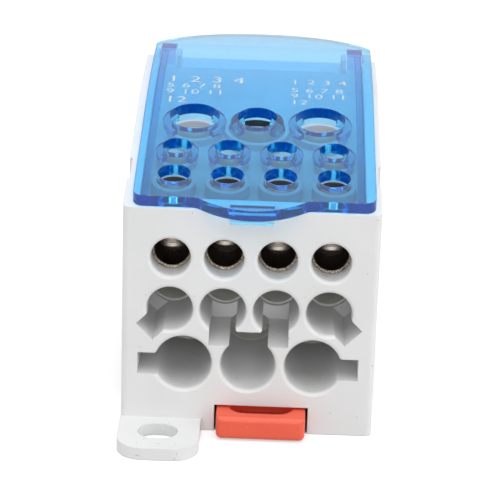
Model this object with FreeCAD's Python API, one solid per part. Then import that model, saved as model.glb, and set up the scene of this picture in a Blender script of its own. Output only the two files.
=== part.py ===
# Power distribution block for a 35 mm rail: a keyed plastic housing, a stepped
# metal terminal block with its clamp screws, a hinged see-through cover and a
# spring-loaded rail latch. Millimetres. The origin is on the base plane, in the
# middle of the outline; +X is to the right, +Y to the rear and +Z up.

import FreeCAD, Part
import math
import os

from FreeCAD import Vector

# Housing body
body_width = 48.0
body_length = 70.0
corner_radius = 1.2            # upright edges of the body
side_wall = 3.0                # from the outside to the recess under the cover
front_wall = 1.8               # the same, at the front
rear_block = 8.0               # solid part of the rear that carries the hinge
ledge = 1.2                    # shelf that the deck rests on, along both sides
rear_core_wall = 3.0           # plastic between the metal block and the rear core

# Arched top, given as the outer surface of the cover
cover_over_holes = 8.35        # from the top row of holes up to the cover, at the face
top_slope = 12.2               # degrees, the straight stretch of the arch
top_straight = 32.0            # length of that stretch, from the front face
arch_radius = 160.0

# Cover
cover_thickness = 2.0
cover_inset = 1.45             # from the side of the body to the edge of the cover
cover_shift = 0.3              # the plate sits this far towards +X
cover_gap = 0.3                # between the cover and the body under it
cover_corner = 4.5
cover_front_corner = 2.0
cover_rear_inset = 1.0         # rear corners, in front of the rear face
cover_rear_bow = 11.8          # how far the rear edge swells past its corners
tab_out = 4.0                  # how far the finger tab stands in front of the face
tab_radius = 15.4
tab_fillet = 2.6
catch_width = 8.1
catch_thickness = 1.1
catch_drop = 4.5               # from the top of the cover at the face to the catch's edge
rib_thickness = 1.2            # rib along each side, under the cover
rib_depth = 1.2
rib_clearance = 0.3            # from the rib to the wall of the recess
collar_thickness = 1.3
collar_depth = 1.0
collar_span = 100.0            # degrees of arc, on each side of a hole

# Cover hinge
hinge_from_rear = 2.8
hinge_drop = 4.2               # pivot, below the underside of the cover
hinge_top_round = 3.6          # rear top edge of the body, about the pivot
arm_thickness = 3.0
arm_centre = 19.5
arm_radius = 2.6
arm_clearance = 0.3
knuckle_wall = 0.9             # plastic on the inner side of each arm slot
pivot_radius = 1.5
pivot_length = 1.6
pivot_clearance = 0.06

# Deck under the cover, with the screw wells
deck_gap = 2.6                 # from the underside of the cover to the deck
deck_thickness = 1.6
deck_clearance = 0.15
well_wall = 1.0

# Wire rows: their holes in the face, and the plastic under and between the rows
pitch = 10.0
small_hole = 7.5
medium_hole = 8.7
large_hole = 10.8
centre_hole = 10.4
large_offset = 12.3
lower_floor = 8.4              # under the large holes, down to the base
lower_wall = 1.15              # between the large and the medium holes
upper_wall = 2.2               # between the medium and the small holes
lip = 0.6                      # rounded edge of every hole in the face

# Keyways beside the wire holes
key_depth = 14.6
corner_key_width = 4.5
corner_key_reach = 6.7         # from the middle of the hole, along its diagonal
foot_key_width = 5.0
tongue_corner = 0.45            # lower corners of the tongue between the two foot keys
foot_key_drop = 7.1            # its floor, below the middle of the hole
side_key_height = 4.4
side_key_reach = 8.6           # from the middle of the hole
side_key_drop = 0.3            # its middle, below the middle of the hole
centre_slot_width = 7.3
centre_slot_drop = 4.1         # its top, below the middles of the holes above it

# Metal block, a staircase with one step for each row of wires
block_side_wall = 1.0          # beside the outermost bores
block_floor = 1.1              # under the lowest bores
block_headroom = 0.7           # from the deck to the front edge of the block
block_rear = 43.5              # from the front face
block_clearance = 0.15
block_chamfer = 0.4
small_step, medium_step, large_step = 4.6, 15.4, 24.8
small_bore, medium_bore, large_bore = 6.6, 8.0, 10.0
small_bore_end, medium_bore_end, large_bore_end = 13.2, 24.0, 36.0
small_countersink = 0.6
countersink = 0.15             # of the other wire bores

# Supply entry at the rear
supply_above_large = 3.2       # its middle, above that of the large holes
supply_bore = 14.0
supply_bore_end = 26.8         # inner end, from the front face
supply_tunnel = 20.0
supply_lip = 1.0
supply_countersink = 0.8

# Clamp screws: diameter, hexagon across flats, distance from the face, hole in the cover,
# and gap between the screw and the wall of its well
thread_clearance = 0.05
thread_end = 1.0               # the threaded holes end this far under the middle of the bore
small_screw = dict(diameter=6.0, hexagon=3.0, depth=8.3, mouth=6.2, gap=0.25)
medium_screw = dict(diameter=5.0, hexagon=2.5, depth=18.4, mouth=5.6, gap=0.4)
large_screw = dict(diameter=8.0, hexagon=4.0, depth=30.0, mouth=9.7, gap=0.5)
supply_screw = dict(diameter=10.0, hexagon=5.0, depth=30.2, mouth=7.7, gap=0.5)
small_screw_hang = 3.5         # the small screws stand this far into their bores
small_screw_lifts = (0.0, 0.7, 0.0, 0.4)    # how far each of them is backed out
raised_tip_gap = 0.2           # the others are backed out to this far above theirs
screw_sink = 1.0               # tops of the screws, under the top of the block
hexagon_depth = 2.4
screw_chamfer = 0.35

# Mounting ears
ear_length = 14.0
ear_width = 15.4
ear_thickness = 2.4
ear_corner = 5.0
ear_slot_length = 7.6
ear_slot_width = 6.4
ear_slot_from_face = 6.2
ear_slot_from_side = 7.5

# Rail channel under the base
rail_width = 35.0
rail_flange = 1.0
rail_clearance = 0.4
rail_play = 0.3                # over the rail's flange
hook_reach = 1.4
hook_thickness = 1.9

# Rail latch
latch_offset = 2.8             # middle of the latch, towards +X
latch_width = 16.9
latch_bottom, latch_top = 0.2, 4.95
latch_out = 4.5                # how far it stands in front of the face
latch_travel = 3.5
latch_corner = 1.1
latch_side_gap = 0.47
latch_top_gap = 0.45
latch_lip = 1.65               # thickness of the lip that holds the rail
latch_lip_reach = 1.0
latch_lip_inset = 1.0          # the lip is narrower than the latch on each side
latch_rail_gap = 0.3
flange_out = 1.0               # guide flange on each side of the latch
flange_low, flange_high = 2.4, 3.6
flange_rear_gap = 0.9          # from the flanges to the rear end of the latch
groove_start = 3.0
groove_clearance = 0.3
pull_length, pull_width, pull_depth = 12.1, 6.0, 2.4
pull_from_front = 2.2          # edge of the pull pocket, behind the latch's face

# Latch spring
spring_radius = 1.5            # outside
spring_wire = 0.45
spring_turns = 6
spring_play = 0.05
pocket_clearance = 0.3         # round the spring and the peg, in the latch
pocket_rear_wall = 1.6
stop_start, stop_end = 5.9, 6.9
stop_width = 3.0

# Recesses at the top edge of the side walls
notch_start, notch_end = 10.0, 17.5
notch_height, notch_depth = 6.0, 0.5

# Places worked out from the sizes above
large_height = lower_floor + large_hole / 2
medium_height = large_height + large_hole / 2 + lower_wall + medium_hole / 2
small_height = medium_height + medium_hole / 2 + upper_wall + small_hole / 2
cover_front_height = small_height + small_hole / 2 + cover_over_holes
catch_bottom = cover_front_height - catch_drop
supply_height = large_height + supply_above_large
front = -body_length / 2
rear = body_length / 2
half_width = body_width / 2
slope = math.radians(top_slope)
arch_start_height = cover_front_height + top_straight * math.tan(slope)
arch_centre_depth = top_straight + arch_radius * math.sin(slope)
arch_centre_height = arch_start_height - arch_radius * math.cos(slope)
body_offset = cover_thickness + cover_gap
deck_offset = cover_thickness + deck_gap
deck_under_offset = deck_offset + deck_thickness
cover_width = body_width - 2 * cover_inset
cover_rear_corner = body_length - cover_rear_inset
hinge_depth = body_length - hinge_from_rear
step_high = (small_height - small_bore / 2 + medium_height + medium_bore / 2) / 2
step_low = (medium_height - medium_bore / 2 + large_height + large_bore / 2) / 2
block_width = 3 * pitch + medium_bore + 2 * block_side_wall
block_bottom = large_height - large_bore / 2 - block_floor
foot_key_floor = medium_height - foot_key_drop
side_key_level = large_height - side_key_drop
centre_slot_top = medium_height - centre_slot_drop
channel_depth = hook_thickness + rail_flange + rail_play
latch_slot_width = latch_width + 2 * latch_side_gap
latch_slot_top = latch_top + latch_top_gap
latch_end = -rail_width / 2 - latch_rail_gap
flange_end = latch_end - flange_rear_gap
flange_start = front + groove_start + latch_travel + groove_clearance
pocket_start = front + stop_start - pocket_clearance
pocket_end = latch_end - pocket_rear_wall
pocket_width = 2 * (spring_radius + pocket_clearance)
pocket_floor = latch_top - 2 * spring_radius - pocket_clearance
row_places = [-1.5 * pitch, -0.5 * pitch, 0.5 * pitch, 1.5 * pitch]
recess_half = half_width - side_wall
recess_rear = body_length - rear_block
knuckle_half = arm_centre - arm_thickness / 2 - arm_clearance - knuckle_wall
spring_height = latch_top - spring_radius
far = 200.0


def box(x0, x1, y0, y1, z0, z1):
    """Block between two corners."""
    return Part.makeBox(x1 - x0, y1 - y0, z1 - z0, Vector(x0, y0, z0))


def along_y(radius, x, z, y0, y1):
    """Round bar along Y."""
    return Part.makeCylinder(radius, y1 - y0, Vector(x, y0, z), Vector(0, 1, 0))


def along_z(radius, x, y, z0, z1):
    """Upright round bar."""
    return Part.makeCylinder(radius, z1 - z0, Vector(x, y, z0), Vector(0, 0, 1))


def along_x(radius, y, z, x0, x1):
    """Round bar along X."""
    return Part.makeCylinder(radius, x1 - x0, Vector(x0, y, z), Vector(1, 0, 0))


def flare_y(r0, r1, x, z, y0, y1):
    """Cone along Y, for lips and countersinks."""
    return Part.makeCone(r0, r1, y1 - y0, Vector(x, y0, z), Vector(0, 1, 0))


def at(depth):
    """Y of a place given by its distance from the front face."""
    return front + depth


def top_height(depth, offset=0.0):
    """Height of the arch, or of a surface that lies a given offset under it."""
    bend = arch_centre_depth - (arch_radius - offset) * math.sin(slope)
    if depth < bend:
        return cover_front_height + depth * math.tan(slope) - offset / math.cos(slope)
    run = depth - arch_centre_depth
    return arch_centre_height + math.sqrt((arch_radius - offset) ** 2 - run ** 2)


def under_arch(offset, start, end, x0, x1, bottom):
    """Prism from a flat bottom up to the surface that lies offset under the arch."""
    bend = arch_centre_depth - (arch_radius - offset) * math.sin(slope)
    middle = (bend + end) / 2
    def point(depth):
        return Vector(x0, at(depth), top_height(depth, offset))
    low_front = Vector(x0, at(start), bottom)
    low_rear = Vector(x0, at(end), bottom)
    edges = [
        Part.makeLine(low_front, point(start)),
        Part.makeLine(point(start), point(bend)),
        Part.Arc(point(bend), point(middle), point(end)).toShape(),
        Part.makeLine(point(end), low_rear),
        Part.makeLine(low_rear, low_front),
    ]
    return Part.Face(Part.Wire(edges)).extrude(Vector(x1 - x0, 0, 0))


def racetrack(length, width, x, y, z0, z1):
    """Upright slot with round ends, long way along X."""
    radius = width / 2
    reach = length / 2 - radius
    slot = along_z(radius, x - reach, y, z0, z1)
    slot = slot.fuse(along_z(radius, x + reach, y, z0, z1))
    return slot.fuse(box(x - reach, x + reach, y - radius, y + radius, z0, z1)).removeSplitter()


def upright_edges(shape, wanted):
    """Straight edges along Z whose end passes a test on x and y."""
    found = []
    for edge in shape.Edges:
        a, b = edge.Vertexes[0].Point, edge.Vertexes[-1].Point
        if abs(a.x - b.x) < 1e-6 and abs(a.y - b.y) < 1e-6 and wanted(a.x, a.y):
            found.append(edge)
    return found


def hexagon(across, x, y, z0, z1):
    """Upright hexagonal prism."""
    corner = across / math.sqrt(3)
    points = []
    for i in range(7):
        turn = math.radians(60 * i)
        points.append(Vector(x + corner * math.cos(turn), y + corner * math.sin(turn), z0))
    return Part.Face(Part.makePolygon(points)).extrude(Vector(0, 0, z1 - z0))


block_top = top_height(small_step, deck_under_offset) - block_headroom

# Every clamp screw: node name, x, its sizes, height of its wire bore, heights of tip and top
screw_top = block_top - screw_sink
small_tip = small_height + small_bore / 2 - small_screw_hang
medium_tip = medium_height + medium_bore / 2 + raised_tip_gap
large_tip = large_height + large_bore / 2 + raised_tip_gap
supply_tip = supply_height + supply_bore / 2 + raised_tip_gap
screws = []
for number, (place, lift) in enumerate(zip(row_places, small_screw_lifts), 1):
    screws.append((f"front_clamp_screw_{number}", place, small_screw, small_height,
                   small_tip + lift, screw_top + lift))
for number, place in enumerate(row_places, 1):
    screws.append((f"middle_clamp_screw_{number}", place, medium_screw, medium_height,
                   medium_tip, screw_top))
for side, place in (("left", -large_offset), ("right", large_offset)):
    screws.append((f"rear_clamp_screw_{side}", place, large_screw, large_height,
                   large_tip, screw_top))
screws.append(("supply_clamp_screw", 0.0, supply_screw, supply_height, supply_tip, screw_top))


def block_steps(clearance, top):
    """Staircase form of the metal block, or of its pocket, which is larger but for its floor."""
    half = block_width / 2 + clearance
    back = at(block_rear) + clearance
    levels = [
        (small_step, step_high - clearance, top),
        (medium_step, step_low - clearance, step_high + 1.0),
        (large_step, block_bottom, step_low + 1.0),
    ]
    form = None
    for step, low, high in levels:
        part = box(-half, half, at(step) - clearance, back, low, high)
        form = part if form is None else form.fuse(part)
    return form.removeSplitter()


def wire_hole(hole, x, z, inner):
    """Hole from the front face to the metal, with a lip that is rounded in two steps."""
    radius = hole / 2
    bend = lip * (1 - math.sqrt(0.5))
    cut = along_y(radius, x, z, front - 1, at(inner) + 1)
    cut = cut.fuse(flare_y(radius + lip, radius + bend, x, z, front - 0.001, front + bend))
    return cut.fuse(flare_y(radius + bend, radius, x, z, front + bend, front + lip))


def corner_key(x, side):
    """Square keyway that points down and outwards from an outer middle hole."""
    half = corner_key_width / 2
    key = box(0, corner_key_reach, front - 1, at(key_depth), -half, half)
    key.rotate(Vector(0, 0, 0), Vector(0, 1, 0), 45)
    if side < 0:
        key = key.mirror(Vector(0, 0, 0), Vector(1, 0, 0))
    key.translate(Vector(x, 0, medium_height))
    return key


def foot_key(x):
    """Keyway straight down from an inner middle hole."""
    half = foot_key_width / 2
    return box(x - half, x + half, front - 1, at(key_depth), foot_key_floor, medium_height)


def side_key(side):
    """Keyway from a large hole towards the side of the body."""
    low = side_key_level - side_key_height / 2
    x0, x1 = sorted((side * large_offset, side * (large_offset + side_key_reach)))
    return box(x0, x1, front - 1, at(key_depth), low, low + side_key_height)


def centre_slot():
    """Wide slot that joins the centre hole to the keyways above it."""
    half = centre_slot_width / 2
    slot = box(-half, half, front - 1, at(key_depth), side_key_level, centre_slot_top)
    inner = pitch / 2 - foot_key_width / 2
    for side in (-1, 1):
        x0, x1 = sorted((side * (inner - tongue_corner), side * (inner + 0.1)))
        corner = box(x0, x1, front - 1, at(key_depth), centre_slot_top - 0.1,
                     centre_slot_top + tongue_corner)
        round_bar = along_y(tongue_corner, side * (inner - tongue_corner),
                            centre_slot_top + tongue_corner, front - 2, at(key_depth) + 1)
        slot = slot.fuse(corner.cut(round_bar))
    return slot


def entry_cuts():
    """All the wire holes and keyways of the front face."""
    cuts = []
    for x in row_places:
        cuts.append(wire_hole(small_hole, x, small_height, small_step))
        cuts.append(wire_hole(medium_hole, x, medium_height, medium_step))
    for side in (-1, 1):
        cuts.append(wire_hole(large_hole, side * large_offset, large_height, large_step))
        cuts.append(corner_key(side * 1.5 * pitch, side))
        cuts.append(foot_key(side * 0.5 * pitch))
        cuts.append(side_key(side))
    cuts.append(wire_hole(centre_hole, 0, large_height, large_step))
    cuts.append(centre_slot())
    return cuts


def supply_cut():
    """Round tunnel from the rear face to the metal block."""
    radius = supply_tunnel / 2
    cut = along_y(radius, 0, supply_height, at(block_rear) + block_clearance, rear + 1)
    return cut.fuse(flare_y(radius, radius + supply_lip, 0, supply_height,
                            rear - supply_lip, rear + 0.001))


def hinge_pivot():
    """Depth and height of the hinge axis."""
    return hinge_depth, top_height(hinge_depth, cover_thickness) - hinge_drop


def hinge_cuts():
    """Slots for the hinge arms, blind pivot holes and the rounded rear top edge."""
    depth, height = hinge_pivot()
    cuts = []
    reach = arm_radius + arm_clearance
    rib_floor = top_height(recess_rear, deck_offset)
    for side in (-1, 1):
        x0 = side * arm_centre - arm_thickness / 2 - arm_clearance
        x1 = side * arm_centre + arm_thickness / 2 + arm_clearance
        cuts.append(box(x0, x1, at(recess_rear) - 1, at(depth), rib_floor, far))
        cuts.append(box(x0, x1, at(depth - reach), rear + 1, height, far))
        cuts.append(box(x0, x1, at(depth), rear + 1, height - reach, height + 1))
        cuts.append(along_x(reach, at(depth), height, x0, x1))
        x0, x1 = sorted((side * arm_centre, side * (arm_centre + arm_thickness / 2
                         + pivot_length + arm_clearance)))
        cuts.append(along_x(pivot_radius + pivot_clearance, at(depth), height, x0, x1))
    corner = box(-half_width - 1, half_width + 1, at(depth), rear + 1, height, far)
    corner = corner.cut(along_x(hinge_top_round, at(depth), height,
                                -half_width - 2, half_width + 2))
    cuts.append(corner)
    return cuts


def ear(side):
    """Mounting ear: front left for side -1, rear right for side +1."""
    y0, y1 = -rear - ear_length, -rear + corner_radius
    x0, x1 = -half_width, -half_width + ear_width
    plate = box(x0, x1, y0, y1, 0, ear_thickness)
    corners = upright_edges(plate, lambda x, y: y < y0 + 1)
    plate = plate.makeFillet(ear_corner, corners)
    slot_y = -rear - ear_slot_from_face
    slot = racetrack(ear_slot_length, ear_slot_width, x0 + ear_slot_from_side, slot_y,
                     -1, ear_thickness + 1)
    if side > 0:
        plate.rotate(Vector(0, 0, 0), Vector(0, 0, 1), 180)
        slot.rotate(Vector(0, 0, 0), Vector(0, 0, 1), 180)
    return plate, slot


def rail_cuts():
    """Channel for the rail, with a fixed hook left standing at its rear edge."""
    half = rail_width / 2 + rail_clearance
    channel = box(-far, far, -half, half - rail_clearance - hook_reach, -1, channel_depth)
    undercut = box(-far, far, 0, half, hook_thickness, channel_depth)
    return [channel, undercut]


def latch_slot_cuts():
    """Slot for the latch from the front face to the rail, with its two grooves."""
    half = latch_slot_width / 2
    end = -rail_width / 2
    slot = box(latch_offset - half, latch_offset + half, front - 1, end, -1, latch_slot_top)
    wide = latch_width / 2 + flange_out + groove_clearance
    grooves = box(latch_offset - wide, latch_offset + wide, at(groove_start), end,
                  flange_low - groove_clearance, flange_high + groove_clearance)
    return [slot, grooves]


def spring_stop():
    """Peg that hangs from the roof of the latch slot and holds one end of the spring."""
    half = stop_width / 2
    return box(latch_offset - half, latch_offset + half, at(stop_start), at(stop_end),
               pocket_floor + pocket_clearance, latch_slot_top + 1)


def side_notches():
    """Shallow recesses at the top edge of the side walls."""
    cuts = []
    low = top_height((notch_start + notch_end) / 2, body_offset) - notch_height
    for side in (-1, 1):
        x0, x1 = sorted((side * (half_width - notch_depth), side * (half_width + 1)))
        cuts.append(box(x0, x1, at(notch_start), at(notch_end), low, far))
    return cuts


def make_housing():
    body = under_arch(body_offset, 0, body_length, -half_width, half_width, 0)
    body = body.makeFillet(corner_radius, upright_edges(body, lambda x, y: True))
    cuts = hinge_cuts()
    recess = box(-recess_half, recess_half, at(front_wall), at(recess_rear), 0, far)
    shelf = under_arch(deck_under_offset, 0, body_length, -far, far, 0)
    cuts.append(recess.cut(shelf))
    rear_recess = box(-knuckle_half, knuckle_half, at(recess_rear) - 1, rear + 1, 0, far)
    cuts.append(rear_recess.cut(under_arch(deck_offset, 0, body_length + 2, -far, far, 0)))
    cuts.append(block_steps(block_clearance, far))
    core_front = block_rear + rear_core_wall
    core_floor = supply_height + supply_tunnel / 2 + rear_core_wall
    core_half = recess_half - ledge
    cuts.append(box(-core_half, core_half, at(core_front), at(recess_rear - ledge),
                    core_floor, far))
    cuts += entry_cuts()
    cuts.append(supply_cut())
    cuts += rail_cuts()
    cuts += latch_slot_cuts()
    cuts += side_notches()
    for side in (-1, 1):
        plate, slot = ear(side)
        body = body.fuse(plate)
        cuts.append(slot)
    body = body.cut(cuts)
    return body.fuse(spring_stop()).removeSplitter()


def make_deck():
    """Inner deck: a sloping plate with a round well down to each clamp screw."""
    half = recess_half - deck_clearance
    start, end = front_wall + deck_clearance, recess_rear - deck_clearance
    plate = under_arch(deck_offset, start, end, -half, half, 0)
    deck = plate.cut(under_arch(deck_under_offset, 0, body_length, -far, far, 0))
    over_block = under_arch(deck_offset, small_step, block_rear, -block_width / 2,
                            block_width / 2, 0)
    holes = []
    floor = block_top + deck_clearance
    for name, x, sizes, height, tip, top in screws:
        y = at(sizes["depth"])
        radius = sizes["diameter"] / 2 + sizes["gap"]
        tube = along_z(radius + well_wall, x, y, floor, far)
        deck = deck.fuse(tube.common(over_block))
        holes.append(along_z(radius, x, y, 0, far))
    return deck.cut(holes).removeSplitter()


def make_block():
    """Nickel-plated block with a wire bore and a threaded hole for each clamp."""
    block = block_steps(0, block_top)
    outer = []
    for edge in block.Edges:
        frame = edge.BoundBox
        upright = frame.XLength < 0.01 and frame.YLength < 0.01
        if upright or frame.ZMin > block_top - 0.01:
            outer.append(edge)
    block = block.makeChamfer(block_chamfer, outer)
    cuts = []
    outer_places = (-large_offset, large_offset)
    rows = [(row_places, small_height, small_bore, small_step, small_bore_end, small_countersink),
            (row_places, medium_height, medium_bore, medium_step, medium_bore_end, countersink),
            (outer_places, large_height, large_bore, large_step, large_bore_end, countersink),
            ((0.0,), large_height, large_bore, large_step, supply_bore_end + 1, countersink)]
    for places, height, bore, step, end, sink in rows:
        for x in places:
            cuts.append(along_y(bore / 2, x, height, at(step) - 1, at(end)))
            cuts.append(flare_y(bore / 2 + sink, bore / 2, x, height,
                                at(step) - 0.001, at(step) + sink))
    cuts.append(along_y(supply_bore / 2, 0, supply_height, at(supply_bore_end), at(block_rear) + 1))
    cuts.append(flare_y(supply_bore / 2, supply_bore / 2 + supply_countersink, 0, supply_height,
                        at(block_rear) - supply_countersink, at(block_rear) + 0.001))
    for name, x, sizes, height, tip, top in screws:
        radius = sizes["diameter"] / 2 + thread_clearance
        cuts.append(along_z(radius, x, at(sizes["depth"]), height - thread_end, block_top + 1))
    return block.cut(cuts)


def make_screw(x, sizes, tip, top):
    """Set screw with a hexagon socket, a flat tip and chamfered ends."""
    radius = sizes["diameter"] / 2
    y = at(sizes["depth"])
    screw = along_z(radius, x, y, tip, top)
    ends = [edge for edge in screw.Edges if edge.BoundBox.ZLength < 0.01]
    screw = screw.makeChamfer(screw_chamfer, ends)
    return screw.cut(hexagon(sizes["hexagon"], x, y, top - hexagon_depth, top + 1))


def cover_outline():
    """Plan of the cover: bowed rear edge, straight front edge with a swelling finger tab."""
    x0, x1 = cover_shift - cover_width / 2, cover_shift + cover_width / 2
    y0, y1 = front, at(cover_rear_corner)
    centre = front - tab_out + tab_radius
    sum_radius = tab_radius + tab_fillet
    fillet_y = front - tab_fillet
    run = math.sqrt(sum_radius ** 2 - (centre - fillet_y) ** 2)
    share = tab_radius / sum_radius
    touch_x = run * share
    touch_y = centre + (fillet_y - centre) * share
    edges = [Part.makeLine(Vector(x0, y1, 0), Vector(x0, y0, 0)),
             Part.makeLine(Vector(x0, y0, 0), Vector(-run, y0, 0))]
    half_turn = math.atan2(run, centre - fillet_y) / 2
    mid_x = run - tab_fillet * math.sin(half_turn)
    mid_y = fillet_y + tab_fillet * math.cos(half_turn)
    edges.append(Part.Arc(Vector(-run, y0, 0), Vector(-mid_x, mid_y, 0),
                          Vector(-touch_x, touch_y, 0)).toShape())
    edges.append(Part.Arc(Vector(-touch_x, touch_y, 0), Vector(0, front - tab_out, 0),
                          Vector(touch_x, touch_y, 0)).toShape())
    edges.append(Part.Arc(Vector(touch_x, touch_y, 0), Vector(mid_x, mid_y, 0),
                          Vector(run, y0, 0)).toShape())
    edges.append(Part.makeLine(Vector(run, y0, 0), Vector(x1, y0, 0)))
    edges.append(Part.makeLine(Vector(x1, y0, 0), Vector(x1, y1, 0)))
    edges.append(Part.Arc(Vector(x1, y1, 0), Vector(cover_shift, y1 + cover_rear_bow, 0),
                          Vector(x0, y1, 0)).toShape())
    slab = Part.Face(Part.Wire(edges)).extrude(Vector(0, 0, far))
    slab = slab.makeFillet(cover_corner, upright_edges(slab, lambda x, y: abs(y - y1) < 0.01))
    return slab.makeFillet(cover_front_corner, upright_edges(
        slab, lambda x, y: abs(y - y0) < 0.01 and abs(x - cover_shift) > cover_width / 3))


def collar(x, sizes):
    """Two arcs of wall under the cover, left and right of a screw hole."""
    y, mouth = at(sizes["depth"]), sizes["mouth"]
    under = top_height(sizes["depth"], cover_thickness)
    ring = along_z(mouth / 2 + collar_thickness, x, y, under - 4, under + 4)
    ring = ring.cut(along_z(mouth / 2, x, y, under - 5, under + 5))
    reach = mouth
    spread = reach * math.tan(math.radians(collar_span / 2))
    wedge = [Vector(x, y, under - 5)]
    wedge += [Vector(x + reach, y - spread, under - 5), Vector(x + reach, y + spread, under - 5)]
    wedge.append(wedge[0])
    right = Part.Face(Part.makePolygon(wedge)).extrude(Vector(0, 0, 10))
    left = right.copy()
    left.rotate(Vector(x, y, 0), Vector(0, 0, 1), 180)
    return ring.common(right.fuse(left))


def make_cover():
    """Arched see-through cover with finger tab, side ribs, collars and hinge arms."""
    length = cover_rear_corner + cover_rear_bow + 1
    start = -tab_out - 1
    arch = under_arch(0, start, length, -half_width, half_width, 10)
    shell = arch.cut(under_arch(cover_thickness, start - 1, length + 1, -far, far, 0))
    cover = shell.common(cover_outline())
    under = under_arch(cover_thickness, start, length, -half_width, half_width, 10)
    extras = []
    band = under.cut(under_arch(cover_thickness + rib_depth, start - 1, length + 1, -far, far, 0))
    for side in (-1, 1):
        outer = side * (recess_half - rib_clearance)
        inner = outer - side * rib_thickness
        x0, x1 = sorted((outer, inner))
        extras.append(band.common(box(x0, x1, at(front_wall + rib_clearance),
                                      at(hinge_depth), 0, far)))
    band = under.cut(under_arch(cover_thickness + collar_depth, start - 1, length + 1,
                                -far, far, 0))
    for name, x, sizes, height, tip, top in screws:
        if sizes is not small_screw:
            extras.append(band.common(collar(x, sizes)))
    depth, height = hinge_pivot()
    for side in (-1, 1):
        x0 = side * arm_centre - arm_thickness / 2
        x1 = side * arm_centre + arm_thickness / 2
        web = box(x0, x1, at(depth - arm_radius), at(depth + arm_radius), height, far)
        extras.append(web.common(under).fuse(along_x(arm_radius, at(depth), height, x0, x1)))
        x0, x1 = sorted((side * arm_centre, side * (arm_centre + arm_thickness / 2
                                                    + pivot_length)))
        extras.append(along_x(pivot_radius, at(depth), height, x0, x1))
    catch_rear = front - cover_gap
    catch = box(-catch_width / 2, catch_width / 2, catch_rear - catch_thickness, catch_rear,
                catch_bottom, cover_front_height)
    extras.append(catch.common(under))
    cover = cover.fuse(extras).removeSplitter()
    holes = [along_z(sizes["mouth"] / 2, x, at(sizes["depth"]), 0, far)
             for name, x, sizes, height, tip, top in screws]
    return cover.cut(holes)


def make_latch():
    """Rail latch with its lip, guide flanges, pull pocket and spring pocket."""
    half = latch_width / 2
    face = front - latch_out
    body = box(latch_offset - half, latch_offset + half, face, latch_end,
               latch_bottom, latch_top)
    corners = []
    for edge in body.Edges:
        frame = edge.BoundBox
        if frame.YLength > 1 and frame.ZMax < latch_bottom + 0.01:
            corners.append(edge)
        elif frame.XLength > 1 and frame.YMax < face + 0.01:
            corners.append(edge)
        elif frame.ZLength > 1 and frame.YMax < face + 0.01:
            corners.append(edge)
    body = body.makeFillet(latch_corner, corners)
    lip_half = half - latch_lip_inset
    lip = box(latch_offset - lip_half, latch_offset + lip_half, latch_end - 1,
              -rail_width / 2 + latch_lip_reach, latch_bottom, latch_bottom + latch_lip)
    flanges = box(latch_offset - half - flange_out, latch_offset + half + flange_out,
                  flange_start, flange_end, flange_low, flange_high)
    pull = racetrack(pull_length, pull_width, latch_offset,
                     face + pull_from_front + pull_width / 2,
                     latch_top - pull_depth, latch_top + 1)
    pocket = box(latch_offset - pocket_width / 2, latch_offset + pocket_width / 2,
                 pocket_start, pocket_end, pocket_floor, latch_top + 1)
    return body.fuse([lip, flanges]).cut([pull, pocket]).removeSplitter()


def make_spring():
    """Coil spring between the peg in the housing and the rear wall of the latch pocket.
    Its wire has eight flats, which keeps its faces few.
    """
    start, end = at(stop_end) + spring_play, pocket_end - pocket_clearance
    wire = spring_wire / 2
    radius = spring_radius - wire
    run = end - start - spring_wire
    helix = Part.makeHelix(run / spring_turns, run, radius)
    corners = []
    for number in range(9):
        turn = math.radians(45 * number)
        corners.append(Vector(radius + wire * math.cos(turn), 0, wire * math.sin(turn)))
    coil = Part.Wire(helix).makePipeShell([Part.makePolygon(corners)], True, True)
    coil.rotate(Vector(0, 0, 0), Vector(1, 0, 0), -90)
    coil.translate(Vector(latch_offset, start + wire, spring_height))
    return coil


def save(name, shape):
    """Write one node and print what it holds."""
    shape.exportStep(os.path.join("parts", name + ".step"))
    frame = shape.BoundBox
    print(f"{name:24s} solids {len(shape.Solids)} valid {shape.isValid()} "
          f"volume {shape.Volume:9.1f}  "
          f"x {frame.XMin:7.2f} {frame.XMax:7.2f}  y {frame.YMin:7.2f} {frame.YMax:7.2f}  "
          f"z {frame.ZMin:6.2f} {frame.ZMax:6.2f}")


def main():
    os.makedirs("parts", exist_ok=True)
    save("housing", make_housing())
    save("deck", make_deck())
    save("terminal_block", make_block())
    for name, x, sizes, height, tip, top in screws:
        save(name, make_screw(x, sizes, tip, top))
    save("cover", make_cover())
    save("rail_latch", make_latch())
    save("latch_spring", make_spring())
    depth, height = hinge_pivot()
    print(f"hinge axis y {at(depth):.3f} z {height:.3f}")


main()
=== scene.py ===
# %% [markdown]
# # A power distribution block with a clear blue cover
# The block stands on a white table, seen from a little above its wire side.
# Its pieces arrive from the imported model at their true size, in metres, so this
# lesson is about how they look: moulded plastic, a clear tinted cover, plated
# metal and screws with real threads. The model is loaded first.

# %% Load the model
import bmesh
import bpy
import math
from mathutils import Matrix, Vector


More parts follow.
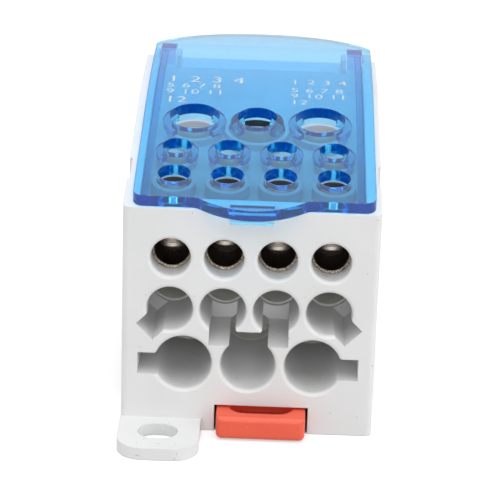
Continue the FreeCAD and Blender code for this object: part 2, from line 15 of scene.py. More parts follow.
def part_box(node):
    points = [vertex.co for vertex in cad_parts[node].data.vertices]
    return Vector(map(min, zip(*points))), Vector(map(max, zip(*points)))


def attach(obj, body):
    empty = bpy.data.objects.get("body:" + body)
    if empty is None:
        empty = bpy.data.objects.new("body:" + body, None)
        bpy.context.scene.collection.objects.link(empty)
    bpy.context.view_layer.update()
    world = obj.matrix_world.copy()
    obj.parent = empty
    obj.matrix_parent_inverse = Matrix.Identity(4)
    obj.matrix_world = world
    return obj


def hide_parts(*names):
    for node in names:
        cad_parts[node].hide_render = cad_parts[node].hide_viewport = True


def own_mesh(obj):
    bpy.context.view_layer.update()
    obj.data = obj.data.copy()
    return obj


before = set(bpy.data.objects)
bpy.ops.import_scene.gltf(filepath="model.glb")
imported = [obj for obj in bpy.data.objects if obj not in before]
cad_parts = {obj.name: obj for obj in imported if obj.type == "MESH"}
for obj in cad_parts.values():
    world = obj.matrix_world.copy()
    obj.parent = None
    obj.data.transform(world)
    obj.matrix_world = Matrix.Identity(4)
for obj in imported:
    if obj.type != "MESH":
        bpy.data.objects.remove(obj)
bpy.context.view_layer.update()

MM = 0.001

# %% [markdown]
# ## The camera
# The photograph was taken from almost straight in front and 20 degrees above,
# with a long lens, so the sides of the block hardly converge. The camera was also
# tilted a little, which shows in the slightly falling edges of the front face.
# A camera can be placed by hand, but here its direction, its distance and the
# point that it looks at are known, so the placing is worked out from them.

# %% Camera
CAMERA_AZIMUTH = math.radians(0.778)
CAMERA_ELEVATION = math.radians(20.508)
CAMERA_ROLL = math.radians(1.817)
CAMERA_DISTANCE = 408.75 * MM
CAMERA_TARGET = Vector((-0.245, -35.0, 37.151)) * MM
PHOTO_SIDE = 500
FOCAL_PIXELS = 2201.986
SENSOR = 36.0

towards_camera = Vector((math.sin(CAMERA_AZIMUTH) * math.cos(CAMERA_ELEVATION),
                         -math.cos(CAMERA_AZIMUTH) * math.cos(CAMERA_ELEVATION),
                         math.sin(CAMERA_ELEVATION)))
level_right = Vector((math.cos(CAMERA_AZIMUTH), math.sin(CAMERA_AZIMUTH), 0.0))
level_up = towards_camera.cross(level_right)
right = level_right * math.cos(CAMERA_ROLL) + level_up * math.sin(CAMERA_ROLL)
up = level_up * math.cos(CAMERA_ROLL) - level_right * math.sin(CAMERA_ROLL)

bpy.ops.object.camera_add(location=CAMERA_TARGET + towards_camera * CAMERA_DISTANCE)
camera = bpy.context.object
camera.name = "Camera"
camera.rotation_euler = Matrix((right, up, towards_camera)).transposed().to_euler()
camera.data.sensor_width = SENSOR
camera.data.lens = FOCAL_PIXELS / PHOTO_SIDE * SENSOR
camera.data.clip_start = 0.01
camera.data.clip_end = 20.0
bpy.context.scene.camera = camera
print("lens in mm:", round(camera.data.lens, 1), "camera height in mm:",
      round(camera.location.z / MM, 1))

# %% [markdown]
# ## Small helpers for materials
# Every finish below is a Principled shader with a few nodes before it. The nodes
# read Object coordinates, which are metres from the block's own origin, so a
# noise scale of 1000 gives marks about a millimetre wide. A value that is the
# same all over goes straight onto the shader's own socket.

# %% Material helpers
def new_finish(name, **sockets):
    """A material with one Principled shader, and its tree."""
    finish = bpy.data.materials.new(name)
    finish.use_nodes = True
    shader = finish.node_tree.nodes["Principled BSDF"]
    for socket, value in sockets.items():
        shader.inputs[socket.replace("_", " ")].default_value = value
    return finish, finish.node_tree, shader


def add_node(tree, kind, **values):
    """A node of a kind, with some of its input sockets set."""
    node = tree.nodes.new("ShaderNode" + kind)
    for socket, value in values.items():
        node.inputs[socket.replace("_", " ")].default_value = value
    return node


def place_on_object(tree, stretch=(1, 1, 1)):
    """Object coordinates, stretched along some axes."""
    coordinates = tree.nodes.new("ShaderNodeTexCoord")
    mapping = add_node(tree, "Mapping", Scale=stretch)
    tree.links.new(coordinates.outputs["Object"], mapping.inputs["Vector"])
    return mapping.outputs["Vector"]


def split_axes(tree, where):
    """The X, Y and Z of a place, as sockets."""
    apart = tree.nodes.new("ShaderNodeSeparateXYZ")
    tree.links.new(where, apart.inputs["Vector"])
    return apart.outputs


def noise(tree, where, scale, detail=3.0, roughness=0.5):
    """A cloudy value from 0 to 1, with its scale in marks per metre."""
    node = add_node(tree, "TexNoise", Scale=scale, Detail=detail, Roughness=roughness)
    tree.links.new(where, node.inputs["Vector"])
    return node.outputs["Fac"]


def ramp(tree, value, low, high, at_low, at_high):
    """A value mapped from one range to another, held at both ends."""
    node = add_node(tree, "MapRange")
    node.inputs["From Min"].default_value = low
    node.inputs["From Max"].default_value = high
    node.inputs["To Min"].default_value = at_low
    node.inputs["To Max"].default_value = at_high
    tree.links.new(value, node.inputs["Value"])
    return node.outputs["Result"]


def blend_colours(tree, share, first, second):
    """A colour between two, by a share from 0 to 1. The first may be a socket."""
    node = tree.nodes.new("ShaderNodeMix")
    node.data_type = "RGBA"
    tree.links.new(share, node.inputs["Factor"])
    if isinstance(first, bpy.types.NodeSocket):
        tree.links.new(first, node.inputs["A"])
    else:
        node.inputs["A"].default_value = (*first, 1.0)
    node.inputs["B"].default_value = (*second, 1.0)
    return node.outputs["Result"]


def combine(tree, operation, first, second):
    """Two values joined by a Math node."""
    join = tree.nodes.new("ShaderNodeMath")
    join.operation = operation
    tree.links.new(first, join.inputs[0])
    tree.links.new(second, join.inputs[1])
    return join.outputs["Value"]


def soft_edges(tree, radius):
    """Normals that round every edge by a radius, as a mould does."""
    node = tree.nodes.new("ShaderNodeBevel")
    node.samples = 6
    node.inputs["Radius"].default_value = radius
    return node.outputs["Normal"]


def bump(tree, shader, height, depth, strength, base=None):
    """Fine relief of a given depth on the shader, over rounded edges if given."""
    node = add_node(tree, "Bump", Strength=strength, Distance=depth)
    tree.links.new(height, node.inputs["Height"])
    if base is not None:
        tree.links.new(base, node.inputs["Normal"])
    tree.links.new(node.outputs["Normal"], shader.inputs["Normal"])


print("helpers ready")

# %% [markdown]
# ## Moulded grey-white plastic
# The housing is polyamide: pale, satin, with the faint grain of a spark-eroded
# mould and slightly uneven tone. A few dust specks sit on it. The tone comes from
# a slow noise, the grain from a fast one used as a bump, and the specks from a
# noise whose highest peaks alone are kept. Its edges are rounded by a Bevel node,
# which costs no faces. The deck under the cover is the same plastic, a bit greyer,
# with painted shade that makes it darker towards the wire side. The insides of its
# narrow rims are painted nearly black, as the painted shade of deep wells.

# %% Housing and deck plastic
GRAIN_DEPTH = 0.02 * MM
MOULDED_EDGE = 0.25 * MM
SHEEN_SPREAD = 0.05
DECK_LIT_Y = 6.0 * MM
DECK_SHADED_Y = -26.0 * MM
PAINTED_SHADE_SHARE = 0.85


def moulded_plastic(name, pale, grey, speck, roughness):
    """Satin plastic of uneven tone, with dust specks and a fine grain."""
    finish, tree, shader = new_finish(name, Specular_IOR_Level=0.45)
    where = place_on_object(tree)
    tone = ramp(tree, noise(tree, where, 70.0), 0.35, 0.65, 0.0, 1.0)
    colour = blend_colours(tree, tone, pale, grey)
    dust = ramp(tree, noise(tree, where, 1400.0, detail=0.0), 0.815, 0.84, 0.0, 0.6)
    colour = blend_colours(tree, dust, colour, speck)
    tree.links.new(colour, shader.inputs["Base Color"])
    sheen = ramp(tree, noise(tree, where, 260.0), 0.3, 0.7,
                 roughness - SHEEN_SPREAD, roughness + SHEEN_SPREAD)
    tree.links.new(sheen, shader.inputs["Roughness"])
    grain = noise(tree, where, 3200.0, detail=2.0)
    bump(tree, shader, grain, GRAIN_DEPTH, 0.35, soft_edges(tree, MOULDED_EDGE))
    return finish


housing_finish = moulded_plastic("housing_plastic", pale=(0.765, 0.766, 0.768),
                                 grey=(0.735, 0.737, 0.735), speck=(0.42, 0.40, 0.36),
                                 roughness=0.42)
deck_finish = moulded_plastic("deck_plastic", pale=(0.66, 0.67, 0.68),
                              grey=(0.61, 0.62, 0.63), speck=(0.40, 0.38, 0.35),
                              roughness=0.45)
# Painted shade: a near-black plastic that stands for the shade inside deep wells.
painted_well_shade_finish = moulded_plastic("painted_well_shade", pale=(0.050, 0.052, 0.056),
                              grey=(0.030, 0.031, 0.034), speck=(0.10, 0.10, 0.10),
                              roughness=0.6)

tree = deck_finish.node_tree
shader = tree.nodes["Principled BSDF"]
even = shader.inputs["Base Color"].links[0].from_socket
apart = split_axes(tree, place_on_object(tree))
# Painted shade: the deck's colour gets darker towards the wire side, where less light falls.
painted_front_shade = ramp(tree, apart["Y"], DECK_LIT_Y, DECK_SHADED_Y, 0.0, PAINTED_SHADE_SHARE)
colour = blend_colours(tree, painted_front_shade, even, (0.34, 0.30, 0.32))
tree.links.new(colour, shader.inputs["Base Color"])
print("plastic finishes:", housing_finish.name, deck_finish.name, painted_well_shade_finish.name)

# %% [markdown]
# ## Orange latch plastic
# The rail latch is a warm orange-red, glossier than the housing and rubbed a
# little paler in streaks along its slide, which a noise stretched along Y gives.
# Its colour is strong, so the tone shifts only a little. Its edges are rounder than
# those of the housing.

# %% Latch plastic
LATCH_EDGE = 0.6 * MM
ALONG_SLIDE = (1.0, 0.2, 1.0)

latch_finish, tree, shader = new_finish("latch_plastic", Specular_IOR_Level=0.5)
where = place_on_object(tree)
tone = ramp(tree, noise(tree, where, 110.0), 0.35, 0.65, 0.0, 1.0)
colour = blend_colours(tree, tone, (0.84, 0.112, 0.052), (0.80, 0.096, 0.046))
streaks = noise(tree, place_on_object(tree, ALONG_SLIDE), 1500.0)
rubbed = ramp(tree, streaks, 0.62, 0.75, 0.0, 0.25)
colour = blend_colours(tree, rubbed, colour, (0.90, 0.26, 0.16))
tree.links.new(colour, shader.inputs["Base Color"])
sheen = ramp(tree, noise(tree, where, 400.0), 0.3, 0.7, 0.30, 0.42)
tree.links.new(sheen, shader.inputs["Roughness"])
grain = noise(tree, where, 3600.0, detail=2.0)
bump(tree, shader, grain, GRAIN_DEPTH, 0.3, soft_edges(tree, LATCH_EDGE))
print("latch finish:", latch_finish.name)

# %% [markdown]
# ## Clear blue cover
# The cover is a 2 mm sheet of tinted polycarbonate. A tinted surface would give
# the same blue everywhere, but on the real thing the holes and edges are far
# deeper in colour than the face, because light runs a long way inside them. So
# the surface is clear and the tint is a Volume Absorption, which takes red
# away fastest and blue slowest. Light that is caught in such a sheet comes out at
# its edges and at the walls of its holes. Those paths are too long to follow, so a
# faint haze and a faint glow per metre stand for them: they hardly show on the face
# but add up inside an edge. Lamps can't be found through glass, so their shadow
# rays get a transparent surface instead, and the deck below stays lit.

# %% Cover finish
TINT_PER_METRE = 560.0
TINT_KEEPS = (0.0, 0.70, 0.94)
HAZE_PER_METRE = 18.0
HAZE_SENDS = (0.02, 0.32, 1.0)
GLOW_PER_METRE = 17.0
GLOW_SENDS = (0.0, 0.45, 1.0)
SHADOW_PASSES = (0.92, 0.92, 0.92)
COVER_EDGE = 0.2 * MM
RIPPLE_DEPTH = 0.03 * MM

cover_finish, tree, shader = new_finish(
    "clear_blue_plastic", Base_Color=(1.0, 1.0, 1.0, 1.0), Roughness=0.03, IOR=1.56,
    Transmission_Weight=1.0)
where = place_on_object(tree)
ripple = noise(tree, where, 120.0, detail=2.0)
bump(tree, shader, ripple, RIPPLE_DEPTH, 0.25, soft_edges(tree, COVER_EDGE))
output = tree.nodes["Material Output"]
see_through = add_node(tree, "BsdfTransparent", Color=(*SHADOW_PASSES, 1.0))
path = tree.nodes.new("ShaderNodeLightPath")
choice = tree.nodes.new("ShaderNodeMixShader")
tree.links.new(path.outputs["Is Shadow Ray"], choice.inputs["Fac"])
tree.links.new(shader.outputs["BSDF"], choice.inputs[1])
tree.links.new(see_through.outputs["BSDF"], choice.inputs[2])
tree.links.new(choice.outputs["Shader"], output.inputs["Surface"])
tint = add_node(tree, "VolumeAbsorption", Color=(*TINT_KEEPS, 1.0), Density=TINT_PER_METRE)
haze = add_node(tree, "VolumeScatter", Color=(*HAZE_SENDS, 1.0), Density=HAZE_PER_METRE)
glow = add_node(tree, "Emission", Color=(*GLOW_SENDS, 1.0), Strength=GLOW_PER_METRE)
inside = tint.outputs["Volume"]
for extra in (haze.outputs["Volume"], glow.outputs["Emission"]):
    both = tree.nodes.new("ShaderNodeAddShader")
    tree.links.new(inside, both.inputs[0])
    tree.links.new(extra, both.inputs[1])
    inside = both.outputs["Shader"]
tree.links.new(inside, output.inputs["Volume"])
print("cover tint per metre:", TINT_PER_METRE)

# %% [markdown]
# ## Plated metal
# The terminal block is brass with a thin nickel plate, drilled and milled. Its
# upper step shows brown with bright burrs at the lips of its bores, where the drill
# has cut through the plate, and inside the bores it is painted nearly black, as
# painted shade. The lower steps are a dull pale grey, so its colour follows the
# depth and the height on the piece. The screws are zinc-plated steel. The life of a
# metal is in its roughness: a noise stretched along one axis gives the marks of the
# cutter, and it drives roughness and a shallow bump.

# %% Metal finishes
METAL_EDGE = 0.12 * MM
MARK_DEPTH = 0.02 * MM
UPPER_STEP_Z = 31.0 * MM
STEP_BLEND = 1.5 * MM
LIP_END_Y = -29.9 * MM
BURRS_FROM = 0.34 * MM
BURRS_FULL = 0.24 * MM
LIP_BLEND = 0.1 * MM


def machined_metal(name, bright, dull, roughness, marks, stretch):
    """Metal with stains, and cutter marks per metre stretched along some axes."""
    finish, tree, shader = new_finish(name, Metallic=1.0)
    cutter = noise(tree, place_on_object(tree, stretch), marks, detail=4.0)
    stains = noise(tree, place_on_object(tree), 350.0)
    tone = ramp(tree, stains, 0.4, 0.7, 0.0, 1.0)
    tree.links.new(blend_colours(tree, tone, bright, dull), shader.inputs["Base Color"])
    rough = ramp(tree, cutter, 0.3, 0.7, roughness - 0.07, roughness + 0.09)
    tree.links.new(rough, shader.inputs["Roughness"])
    bump(tree, shader, cutter, MARK_DEPTH, 0.4, soft_edges(tree, METAL_EDGE))
    return finish, tree, shader


block_finish, tree, shader = machined_metal(
    "plated_brass", bright=(0.36, 0.28, 0.21), dull=(0.20, 0.155, 0.12),
    roughness=0.34, marks=2600.0, stretch=(1.0, 0.15, 1.0))
brown = shader.inputs["Base Color"].links[0].from_socket
where = place_on_object(tree)
apart = split_axes(tree, where)
burr = ramp(tree, noise(tree, where, 4600.0, detail=1.0), 0.44, 0.60, 0.0, 1.0)
fringe = ramp(tree, apart["Y"], LIP_END_Y - BURRS_FROM, LIP_END_Y - BURRS_FULL, 0.0, 1.0)
burrs = combine(tree, "MULTIPLY", burr, fringe)
colour = blend_colours(tree, burrs, brown, (0.95, 0.90, 0.84))
# Painted shade: deeper than the lip, the bore is coloured near-black.
inside = ramp(tree, apart["Y"], LIP_END_Y, LIP_END_Y + LIP_BLEND, 0.0, 1.0)
colour = blend_colours(tree, inside, colour, (0.055, 0.042, 0.033))
lower = ramp(tree, apart["Z"], UPPER_STEP_Z, UPPER_STEP_Z - STEP_BLEND, 0.0, 1.0)
colour = blend_colours(tree, lower, colour, (0.86, 0.86, 0.82))
tree.links.new(colour, shader.inputs["Base Color"])
tree.links.new(ramp(tree, lower, 0.0, 1.0, 1.0, 0.0), shader.inputs["Metallic"])

screw_finish = machined_metal(
    "screw_steel", bright=(0.74, 0.69, 0.63), dull=(0.58, 0.53, 0.47),
    roughness=0.52, marks=3000.0, stretch=(1.0, 1.0, 3.0))[0]
spring_finish = machined_metal(
    "spring_steel", bright=(0.62, 0.62, 0.62), dull=(0.50, 0.50, 0.50),
    roughness=0.26, marks=3000.0, stretch=(1.0, 1.0, 1.0))[0]
print("metal finishes:", block_finish.name, screw_finish.name, spring_finish.name)

# %% [markdown]
# ## Dressing the model's own nodes
# Most nodes already have the right shape, so they only need their finish, put
# into the material slots that they bring along.

# %% Finishes onto the nodes
FINISHES = {
    "housing": housing_finish,
    "deck": deck_finish,
    "terminal_block": block_finish,
    "cover": cover_finish,
    "rail_latch": latch_finish,
    "latch_spring": spring_finish,
}


def wear(piece, finish):
    """Puts one finish into every material slot of a piece."""
    if not piece.material_slots:
        piece.data.materials.append(finish)
    for slot in piece.material_slots:
        slot.material = finish


for name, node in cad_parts.items():
    wear(node, FINISHES.get(name, screw_finish))
SCREW_NODES = [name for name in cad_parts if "clamp_screw" in name]
print("dressed nodes:", len(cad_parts), "of them screws:", len(SCREW_NODES))

# %% [markdown]
# ## The clamp screws
# Each clamp screw is a set screw: a threaded bar with a hexagon socket in its top.
# The model holds it as a plain bar, which is right for its motion, but the tips
# of the front screws show in the wire holes and their threads catch the light. A
# noise bump can't make a helix, so the thread is modelled: a three-sided tooth is
# swept by a Screw modifier round a core, which starts as a cylinder with the
# socket cut by a Boolean. Two functions do this at the place of any screw.

# %% A threaded screw
BAR_SIDES = 48
END_CHAMFER = 0.3 * MM
CHAMFER_ANGLE = math.radians(60)
STEPS_PER_TURN = 36
TOOTH_GAP = 0.06
THREAD_START = 0.2


def nothing_selected():
    """Object mode with nothing selected."""
    if bpy.context.object and bpy.context.object.mode != "OBJECT":
        bpy.ops.object.mode_set(mode="OBJECT")
    bpy.ops.object.select_all(action="DESELECT")


def apply_modifiers(piece):
    """Applies every modifier of a piece, in order."""
    bpy.context.view_layer.objects.active = piece
    for modifier in list(piece.modifiers):
        bpy.ops.object.modifier_apply(modifier=modifier.name)


def close_ends(sides):
    """Fills the holes of the active piece with up to so many sides, and turns it outwards."""
    bpy.ops.object.mode_set(mode="EDIT")
    bpy.ops.mesh.select_all(action="SELECT")
    bpy.ops.mesh.fill_holes(sides=sides)
    bpy.ops.mesh.select_all(action="SELECT")
    bpy.ops.mesh.normals_make_consistent(inside=False)
    bpy.ops.object.mode_set(mode="OBJECT")


def screw_core(radius, place, bottom, top, socket, socket_depth):
    """Bar with chamfered ends and a hexagon socket."""
    nothing_selected()
    bpy.ops.mesh.primitive_cylinder_add(vertices=BAR_SIDES, radius=radius, depth=top - bottom,
                                        location=(*place, (top + bottom) / 2))
    core = bpy.context.object
    bpy.ops.object.transform_apply(location=True, rotation=True, scale=True)
    chamfer = core.modifiers.new("ends", "BEVEL")
    chamfer.width = END_CHAMFER
    chamfer.limit_method = "ANGLE"
    chamfer.angle_limit = CHAMFER_ANGLE
    apply_modifiers(core)
    nothing_selected()
    bpy.ops.mesh.primitive_cylinder_add(vertices=6, radius=socket / math.sqrt(3),
                                        depth=2 * socket_depth, location=(*place, top))
    key = bpy.context.object
    bpy.ops.object.transform_apply(location=True, rotation=True, scale=True)
    cut = core.modifiers.new("socket", "BOOLEAN")
    cut.object = key
    apply_modifiers(core)
    bpy.data.objects.remove(key)
    return core


def thread_ridge(root, crest, pitch, place, bottom, top):
    """Helical tooth: a triangle that a Screw modifier sweeps round the bar."""
    nothing_selected()
    bpy.ops.mesh.primitive_circle_add(vertices=3, radius=pitch / 2, fill_type="NOTHING")
    ridge = bpy.context.object
    low, high = pitch * TOOTH_GAP, pitch * (1 - TOOTH_GAP)
    for vertex, corner in zip(ridge.data.vertices,
                              ((root, 0, low), (crest, 0, pitch / 2), (root, 0, high))):
        vertex.co = corner
    sweep = ridge.modifiers.new("thread", "SCREW")
    sweep.steps = sweep.render_steps = STEPS_PER_TURN
    sweep.screw_offset = pitch
    sweep.iterations = int((top - bottom) / pitch) - 1
    sweep.use_normal_calculate = True
    apply_modifiers(ridge)
    close_ends(4)
    ridge.location = (*place, bottom + THREAD_START * pitch)
    ridge.select_set(True)
    bpy.ops.object.transform_apply(location=True, rotation=True, scale=True)
    return ridge


print("screw helpers ready")

# %% [markdown]
# The row of a screw gives its pitch and its socket across flats. The tooth is sunk
# a hair into the core, so no gap shows at its root, and both become one piece that
# takes the plain bar's place on the bar's own body.

# %% Screws in place of the plain bars
THREADS = {"front": (1.0 * MM, 3.0 * MM), "middle": (0.8 * MM, 2.5 * MM),
           "rear": (1.25 * MM, 4.0 * MM), "supply": (1.5 * MM, 5.0 * MM)}
THREAD_DEPTH = 0.6
TOOTH_SINK = 0.02 * MM
SOCKET_DEPTH = 2.4 * MM
SCREW_SMOOTH = math.radians(25)

for name in SCREW_NODES:
    low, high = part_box(name)
    pitch, socket = THREADS[name.split("_")[0]]
    crest = (high[0] - low[0]) / 2
    root = crest - THREAD_DEPTH * pitch
    place = ((low[0] + high[0]) / 2, (low[1] + high[1]) / 2)
    core = screw_core(root, place, low[2], high[2], socket, SOCKET_DEPTH)
    ridge = thread_ridge(root - TOOTH_SINK, crest, pitch, place, low[2], high[2])
    nothing_selected()
    ridge.select_set(True)
    core.select_set(True)
    bpy.context.view_layer.objects.active = core
    bpy.ops.object.join()
    core.name = "threaded_" + name
    bpy.ops.object.shade_smooth_by_angle(angle=SCREW_SMOOTH)
    wear(core, screw_finish)
    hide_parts(name)
    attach(core, name + "_body")
    print(core.name, "faces", len(core.data.polygons))

# %% [markdown]
# ## Rims of the screw wells
# Each well of the deck ends in a low rim under the cover, whose top is parallel to
# the cover, as the holes of the cover show. A rim is a short tube with a slanted
# top, so its corners are worked out from the sloping plane of the deck and skinned
# with faces. Each size gives a rim's inner radius and its height, in mm. The
# collars of the cover stand above most rims, which are lower there.

# %% Well rims
DECK_FRONT_Z = 42.394
DECK_SLOPE = 0.21621
FRONT_Y = -35.0
RIM_SIZES = {"front": (3.25, 2.2), "middle": (2.9, 1.3),
             "rear": (4.5, 1.3), "supply": (5.5, 1.3)}
RIM_GAP = 0.02
RIM_WALL = 0.9
RIM_FOOT = 0.05
AROUND = 64
RIM_SMOOTH = math.radians(30)


def deck_top(y):
    """Height of the deck's upper face in its straight stretch, in mm."""
    return DECK_FRONT_Z + DECK_SLOPE * (y - FRONT_Y)


rims = bpy.data.meshes.new("well_rims")
shape = bmesh.new()
for name in SCREW_NODES:
    low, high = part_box(name)
    x, y = (low[0] + high[0]) / 2 / MM, (low[1] + high[1]) / 2 / MM
    radius, height = RIM_SIZES[name.split("_")[0]]
    section = ((radius + RIM_GAP, -RIM_FOOT), (radius + RIM_GAP, height),
               (radius + RIM_WALL, height), (radius + RIM_WALL, -RIM_FOOT))
    rings = []
    for reach, lift in section:
        ring = []
        for i in range(AROUND):
            turn = math.tau * i / AROUND
            px, py = x + reach * math.cos(turn), y + reach * math.sin(turn)
            ring.append(shape.verts.new(Vector((px, py, deck_top(py) + lift)) * MM))
        rings.append(ring)
    for inner, outer in zip(rings, rings[1:] + rings[:1]):
        for i in range(AROUND):
            j = (i + 1) % AROUND
            face = shape.faces.new((inner[i], inner[j], outer[j], outer[i]))
            # The inner walls of all but the rear rims get the near-black painted shade.
            painted_shade_face = inner is rings[0] and "rear" not in name
            face.material_index = int(painted_shade_face)
bmesh.ops.recalc_face_normals(shape, faces=shape.faces)
shape.to_mesh(rims)
shape.free()
rim_piece = bpy.data.objects.new("well_rims", rims)
bpy.context.scene.collection.objects.link(rim_piece)
nothing_selected()
rim_piece.select_set(True)
bpy.context.view_layer.objects.active = rim_piece
bpy.ops.object.shade_smooth_by_angle(angle=RIM_SMOOTH)
rims.materials.append(deck_finish)
rims.materials.append(painted_well_shade_finish)
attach(rim_piece, "body")
print("well rims:", len(rims.polygons), "faces")

# %% [markdown]
# ## The latch spring
# The spring behind the latch is a coil of round wire: a small circle that a Screw
# modifier sweeps into a helix. It sits between the housing and the latch.

# %% Latch spring
SPRING_TURNS = 6
SPRING_WIRE = 0.45 * MM
WIRE_SIDES = 12
SPRING_SMOOTH = math.radians(40)
low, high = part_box("latch_spring")
length = high[1] - low[1]
coil_radius = (high[0] - low[0] - SPRING_WIRE) / 2
nothing_selected()
bpy.ops.mesh.primitive_circle_add(vertices=WIRE_SIDES, radius=SPRING_WIRE / 2,
                                  fill_type="NOTHING", rotation=(math.pi / 2, 0, 0))
spring = bpy.context.object
spring.name = "coil_spring"
bpy.ops.object.transform_apply(location=True, rotation=True, scale=True)
for vertex in spring.data.vertices:
    vertex.co.x += coil_radius
winding = spring.modifiers.new("winding", "SCREW")
winding.steps = winding.render_steps = STEPS_PER_TURN
winding.screw_offset = (length - SPRING_WIRE) / SPRING_TURNS
winding.iterations = SPRING_TURNS
winding.use_normal_calculate = True
apply_modifiers(spring)
close_ends(WIRE_SIDES)
spring.rotation_euler = (-math.pi / 2, 0, 0)
spring.location = ((low[0] + high[0]) / 2, low[1] + SPRING_WIRE / 2, (low[2] + high[2]) / 2)
spring.select_set(True)
bpy.ops.object.transform_apply(location=True, rotation=True, scale=True)
bpy.ops.object.shade_smooth_by_angle(angle=SPRING_SMOOTH)
wear(spring, spring_finish)
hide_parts("latch_spring")
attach(spring, "body")
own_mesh(spring)

# %% [markdown]
# ## Numbers on the cover
# Such covers carry a small white print behind the rear holes. Here it is only
# running numbers, one block on the left and one on the right. Each line is a text
# object turned into a mesh and laid on the arch of the cover, with a hair of air
# under it, and it rides with the cover when that opens. The ink is worn in places,
# which a noise in its tone shows. Each line is given by its words, where it starts
# and the size of its letters, in mm.

# %% Printed numbers
ARCH_RADIUS, ARCH_CENTRE_Y, ARCH_CENTRE_Z = 160.0, 30.812, -102.368


def arch_height(y):
    """Height of the cover's outer surface behind its straight stretch, in mm."""
    return ARCH_CENTRE_Z + math.sqrt(ARCH_RADIUS ** 2 - (y - ARCH_CENTRE_Y) ** 2)


ink_finish, tree, shader = new_finish("white_ink", Roughness=0.55)
where = place_on_object(tree)
worn = ramp(tree, noise(tree, where, 2400.0), 0.50, 0.72, 0.0, 1.0)
tree.links.new(blend_colours(tree, worn, (0.57, 0.63, 0.68), (0.34, 0.45, 0.58)),
               shader.inputs["Base Color"])
LEFT_X, RIGHT_X = -18.6, 6.3
LINES = [("1 2 3 4", LEFT_X, 9.6, 4.0), ("5 6 7 8", LEFT_X, 6.8, 2.8),
         ("9 10 11", LEFT_X, 4.0, 2.8), ("12", LEFT_X, 0.3, 3.4),
         ("1 2 3 4", RIGHT_X, 10.4, 2.9), ("5 6 7 8", RIGHT_X, 6.4, 2.7),
         ("9 10 11", RIGHT_X, 3.7, 2.7), ("12", RIGHT_X, 1.0, 2.7)]
INK_GAP = 0.02
LETTER_SPACING = 1.1
LETTER_WIDTH = 1.25
STROKE_THINNING = 0.002
prints = []
for words, x, y, height in LINES:
    nothing_selected()
    bpy.ops.object.text_add(location=(0, 0, 0))
    line = bpy.context.object
    line.data.body = words
    line.data.size = height * MM
    line.data.space_character = LETTER_SPACING
    line.data.offset = -STROKE_THINNING * height * MM
    bpy.ops.object.convert(target="MESH")
    line.scale = (LETTER_WIDTH, 1.0, 1.0)
    line.rotation_euler = (-math.asin((y - ARCH_CENTRE_Y) / ARCH_RADIUS), 0, 0)
    line.location = Vector((x, y, arch_height(y) + INK_GAP)) * MM
    bpy.ops.object.transform_apply(location=True, rotation=True, scale=True)
    prints.append(line)
nothing_selected()
for line in prints:
    line.select_set(True)
bpy.context.view_layer.objects.active = prints[0]
bpy.ops.object.join()
numbers = bpy.context.object
numbers.name = "printed_numbers"
wear(numbers, ink_finish)
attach(numbers, "cover_body")
print("printed numbers:", len(numbers.data.polygons), "faces")

# %% [markdown]
# ## The table and the light
# The photograph has a plain white ground and very soft light from high in front,
# which fills the mouths of the wire holes. Two large lamps in front give that, one
# overhead and one on each side lift the rest, and a dim world fills the shadows.
# None hangs behind the block, where the arch of the cover would mirror it into the
# camera. The floor is paper that looks white to the camera but sends back less
# light than white paper would, so the face stays a little darker than the top.
# Right under the block it doesn't glow, so the gaps beside the latch stay dark.

# %% Floor
FLOOR_SIZE = 6.0
FLOOR_DROP = 0.05 * MM
PAPER_GLOW = 0.5
BLOCK_HALF_WIDTH = 24.0 * MM
BLOCK_HALF_LENGTH = 35.0 * MM
GLOW_BLEND = 1.0 * MM

nothing_selected()
bpy.ops.mesh.primitive_plane_add(size=FLOOR_SIZE, location=(0.0, 0.0, -FLOOR_DROP))
floor = bpy.context.object
floor.name = "Floor"
bpy.ops.object.transform_apply(location=True, rotation=True, scale=True)
floor_finish, tree, shader = new_finish("white_paper", Roughness=0.9, Specular_IOR_Level=0.0)
paper = ramp(tree, noise(tree, place_on_object(tree), 30.0), 0.3, 0.7, 0.0, 1.0)
tree.links.new(blend_colours(tree, paper, (0.58, 0.58, 0.58), (0.60, 0.60, 0.60)),
               shader.inputs["Base Color"])
shader.inputs["Emission Color"].default_value = (1.0, 1.0, 1.0, 1.0)


def seen_directly(tree):
    """1 for rays from the camera, or from it by way of gloss or glass, and 0 for others."""
    path = tree.nodes.new("ShaderNodeLightPath")
    total = path.outputs["Is Camera Ray"]
    for kind in ("Is Glossy Ray", "Is Transmission Ray"):
        total = combine(tree, "MAXIMUM", total, path.outputs[kind])
    return total


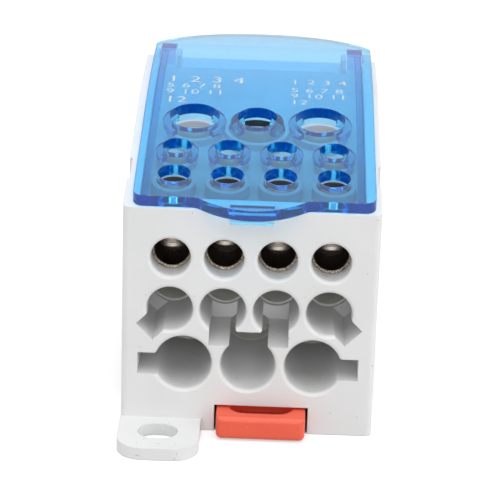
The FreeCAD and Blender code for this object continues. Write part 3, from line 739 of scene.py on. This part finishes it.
apart = split_axes(tree, place_on_object(tree))
beyond = []
for axis, half in (("X", BLOCK_HALF_WIDTH), ("Y", BLOCK_HALF_LENGTH)):
    square = combine(tree, "MULTIPLY", apart[axis], apart[axis])
    beyond.append(ramp(tree, square, (half - GLOW_BLEND) ** 2, half ** 2, 0.0, PAPER_GLOW))
glow = combine(tree, "MULTIPLY", combine(tree, "MAXIMUM", *beyond), seen_directly(tree))
tree.links.new(glow, shader.inputs["Emission Strength"])
wear(floor, floor_finish)
print("floor size in m:", FLOOR_SIZE)

# %% [markdown]
# Each lamp is its place, its width and height in metres, and its power in watts,
# and it looks at the middle of the block. The world is dim where it lights the
# block and white where the camera sees it, also by way of gloss or glass.

# %% Lamps and world
LAMPS = {
    "high_front_lamp": ((0.0, -0.75, 1.41), 1.4, 1.0, 10.0),
    "low_front_lamp": ((0.0, -1.6, 0.62), 1.0, 0.6, 5.0),
    "overhead_lamp": ((0.0, 0.1, 1.6), 0.8, 0.8, 6.5),
    "right_lamp": ((1.5, -0.3, 0.5), 0.8, 0.8, 9.0),
    "left_lamp": ((-1.5, -0.3, 0.5), 0.8, 0.8, 3.0),
}
LAMP_TARGET = Vector((0.0, 0.0, 0.03))
WORLD_LIGHT = 0.43
WHITE_GROUND = 1.0

for name, (place, width, height, power) in LAMPS.items():
    bpy.ops.object.light_add(type="AREA", location=place)
    lamp = bpy.context.object
    lamp.name = name
    lamp.data.shape = "RECTANGLE"
    lamp.data.size = width
    lamp.data.size_y = height
    lamp.data.energy = power
    aim = LAMP_TARGET - Vector(place)
    lamp.rotation_euler = aim.to_track_quat("-Z", "Y").to_euler()

world = bpy.data.worlds.new("Studio")
bpy.context.scene.world = world
world.use_nodes = True
tree = world.node_tree
sky = tree.nodes["Background"]
sky.inputs["Color"].default_value = (1.0, 1.0, 1.0, 1.0)
brightness = ramp(tree, seen_directly(tree), 0.0, 1.0, WORLD_LIGHT, WHITE_GROUND)
tree.links.new(brightness, sky.inputs["Strength"])
bpy.context.scene.view_settings.view_transform = "Standard"
print("lamps:", len(LAMPS), "world light:", WORLD_LIGHT)
